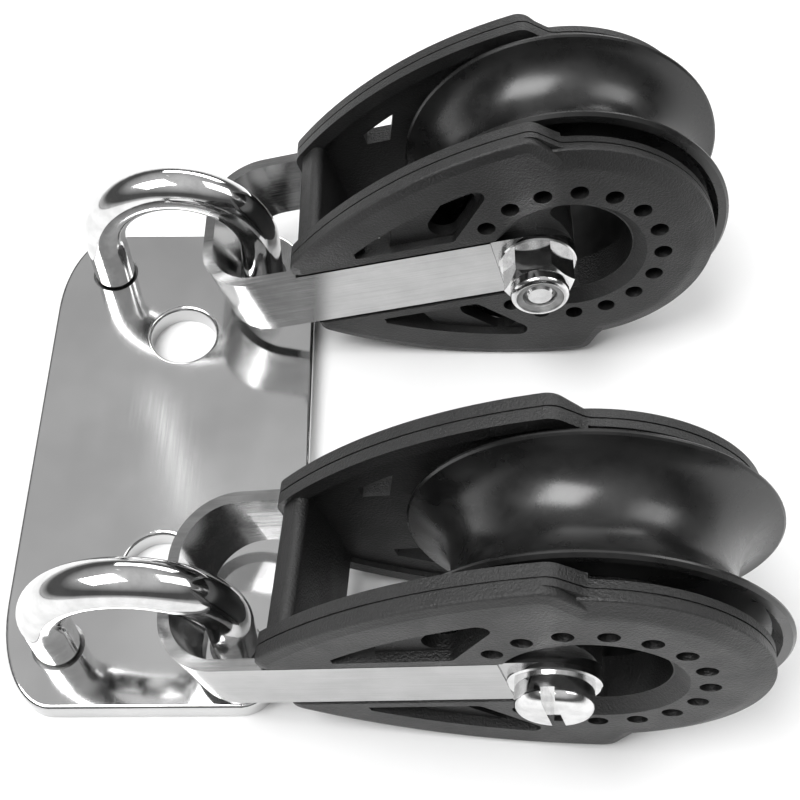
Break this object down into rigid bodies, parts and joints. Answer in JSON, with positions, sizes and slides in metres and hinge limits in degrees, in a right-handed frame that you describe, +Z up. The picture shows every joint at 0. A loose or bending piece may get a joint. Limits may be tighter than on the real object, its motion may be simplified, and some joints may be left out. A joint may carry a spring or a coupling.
{
  "type": "double sheave block on base plate",
  "caption": "Two ball-bearing sheave blocks on steel straps, each looped through a bent-rod eye bow on a polished rectangular base plate with mounting holes.",
  "frame": {"origin": "midpoint between the two mounting holes, on the plate's underside", "axes": "+Z up out of the plate, Y along the plate through both mounting holes, +X towards the blocks' tails; the blocks lie at rest on the surface the plate stands on"},
  "size_m": [0.0637, 0.0603, 0.0298],
  "materials": {
    "plate_steel": "polished stainless sheet",
    "rod_steel": "mirror-polished stainless rod",
    "weld_steel": "ground weld",
    "strap_steel": "fine-brushed stainless strip",
    "fastener_steel": "bright stainless",
    "cheek_plastic": "finely grained glass-filled plastic",
    "sheave_plastic": "satin turned plastic",
    "ball_plastic": "smooth plastic balls",
    "race_plastic": "smooth plastic",
    "insert_plastic": "natural nylon"
  },
  "bodies": {
    "base": {"base_plate": "plate_steel", "rear_eye_bow": "rod_steel", "front_eye_bow": "rod_steel", "eye_bow_welds": "weld_steel"},
    "rear_block": {"rear_near_cheek": "cheek_plastic", "rear_far_cheek": "cheek_plastic", "rear_inner_race": "race_plastic", "rear_strap": "strap_steel", "rear_bolt": "fastener_steel", "rear_head_washer": "fastener_steel", "rear_nut_washer": "fastener_steel", "rear_lock_nut": "fastener_steel", "rear_nut_insert": "insert_plastic"},
    "rear_wheel": {"rear_sheave": "sheave_plastic"},
    "rear_bearing": {"rear_near_balls": "ball_plastic", "rear_far_balls": "ball_plastic"},
    "front_block": {"front_near_cheek": "cheek_plastic", "front_far_cheek": "cheek_plastic", "front_inner_race": "race_plastic", "front_strap": "strap_steel", "front_bolt": "fastener_steel", "front_head_washer": "fastener_steel", "front_nut_washer": "fastener_steel", "front_lock_nut": "fastener_steel", "front_nut_insert": "insert_plastic"},
    "front_wheel": {"front_sheave": "sheave_plastic"},
    "front_bearing": {"front_near_balls": "ball_plastic", "front_far_balls": "ball_plastic"}
  },
  "joints": [
    {"name": "rear_block_swing", "type": "hinge", "parent": "base", "child": "rear_block", "pos_m": [0.00755, 0.0202, 0.007], "axis": [0, 0, 1], "range_deg": [-13, 80]},
    {"name": "rear_sheave_spin", "type": "hinge", "parent": "rear_block", "child": "rear_wheel", "pos_m": [0.0364, 0.01925, 0.01533], "axis": [0.007, 1, 0], "continuous": true},
    {"name": "rear_ball_orbit", "type": "hinge", "parent": "rear_block", "child": "rear_bearing", "pos_m": [0.0364, 0.01925, 0.01533], "axis": [0.007, 1, 0], "continuous": true},
    {"name": "front_block_swing", "type": "hinge", "parent": "base", "child": "front_block", "pos_m": [0.00725, -0.01985, 0.007], "axis": [0, 0, 1], "range_deg": [-75, 18]},
    {"name": "front_sheave_spin", "type": "hinge", "parent": "front_block", "child": "front_wheel", "pos_m": [0.03575, -0.0203, 0.01533], "axis": [0.0872, 0.9962, 0], "continuous": true},
    {"name": "front_ball_orbit", "type": "hinge", "parent": "front_block", "child": "front_bearing", "pos_m": [0.03575, -0.0203, 0.01533], "axis": [0.0872, 0.9962, 0], "continuous": true}
  ],
  "couplings": [
    {"joint": "rear_ball_orbit", "follows": "rear_sheave_spin", "ratio": 0.5689},
    {"joint": "front_ball_orbit", "follows": "front_sheave_spin", "ratio": 0.5689}
  ]
}
